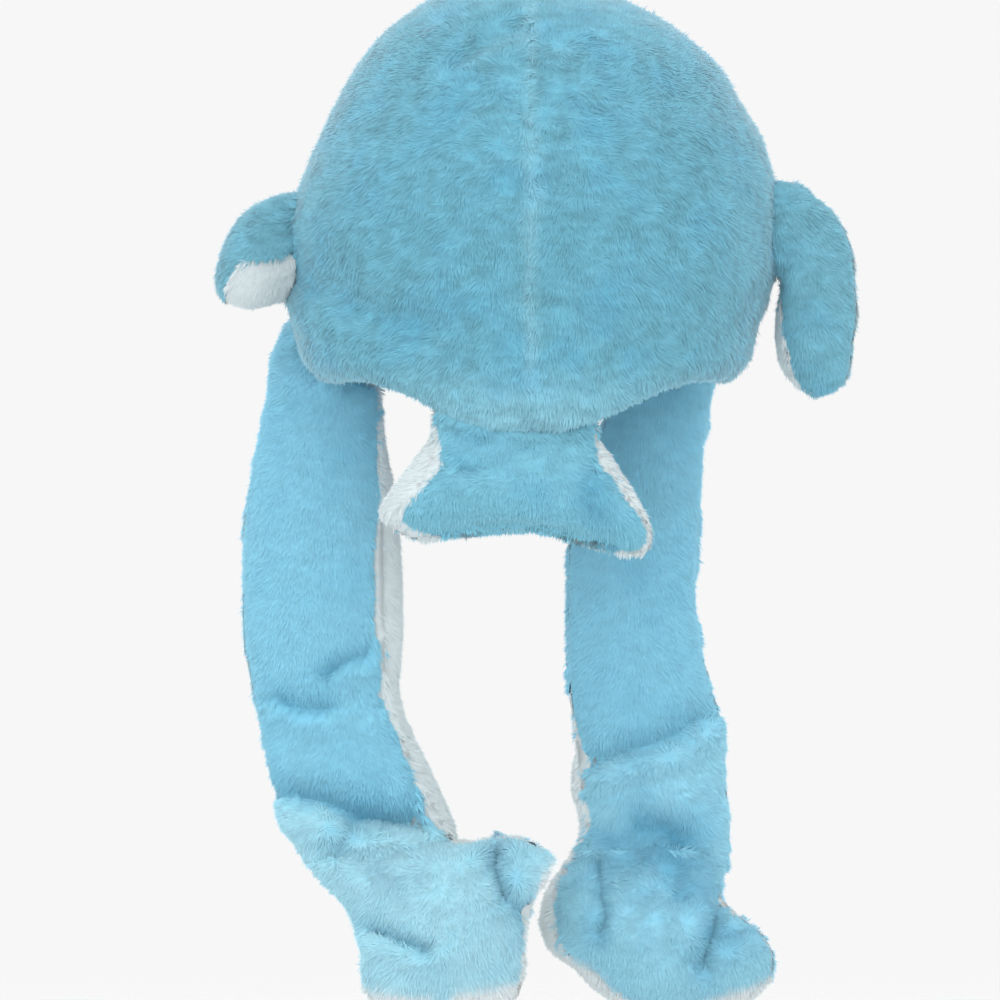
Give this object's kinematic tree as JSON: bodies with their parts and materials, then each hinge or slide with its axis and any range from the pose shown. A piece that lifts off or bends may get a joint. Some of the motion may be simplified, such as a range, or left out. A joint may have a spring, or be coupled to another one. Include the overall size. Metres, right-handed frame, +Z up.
{
  "type": "plush animal hat with long arms",
  "caption": "Padded plush sea animal hat with a hollow for the head, drooping side flippers, a fluke tail at the back and long hanging arms with stuffed paws.",
  "frame": {"origin": "the head's seat, the inner top of the hollow where the head carries the hat", "axes": "+Z up, the back of the hat with the tail faces -Y, +X is the wearer's right"},
  "size_m": [0.372, 0.2683, 0.6013],
  "materials": {
    "crown_plush": "short soft plush pile, mid blue",
    "blue_plush": "short soft plush pile, light blue",
    "white_plush": "short soft plush pile, white"
  },
  "bodies": {
    "root": {"crown_left": "crown_plush", "crown_right": "crown_plush", "flipper_left_outer": "blue_plush", "flipper_left_underside": "white_plush", "flipper_right_outer": "blue_plush", "flipper_right_underside": "white_plush", "tail_outer": "blue_plush", "tail_underside": "white_plush", "arm_left_outer": "blue_plush", "arm_left_underside": "white_plush", "arm_right_outer": "blue_plush", "arm_right_underside": "white_plush", "paw_left_outer": "blue_plush", "paw_left_underside": "white_plush", "paw_right_outer": "blue_plush", "paw_right_underside": "white_plush"}
  },
  "joints": []
}
